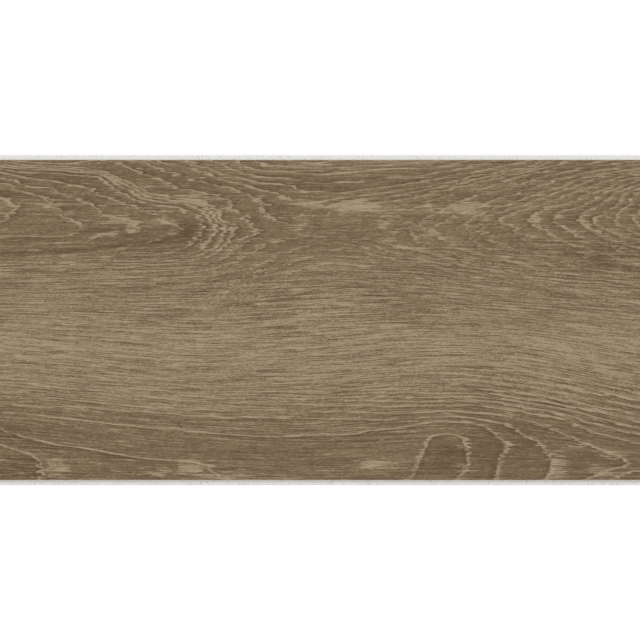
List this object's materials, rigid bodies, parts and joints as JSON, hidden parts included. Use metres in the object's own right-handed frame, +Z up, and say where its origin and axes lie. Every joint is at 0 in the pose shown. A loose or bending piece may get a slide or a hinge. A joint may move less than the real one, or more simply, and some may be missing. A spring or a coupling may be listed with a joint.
{
  "type": "rigid core vinyl plank",
  "caption": "Long flat flooring plank with a limed-oak wood-grain face and milled tongue and groove locking edges on its sides and ends.",
  "frame": {"origin": "centre of the face outline, on the underside plane", "axes": "+X along the plank towards the end tongue, +Y across it towards the long-side tongue, +Z up out of the wear face"},
  "size_m": [1.2248, 0.1838, 0.005],
  "materials": {
    "plank": "matte"
  },
  "bodies": {
    "root": {"plank": "plank"}
  },
  "joints": []
}
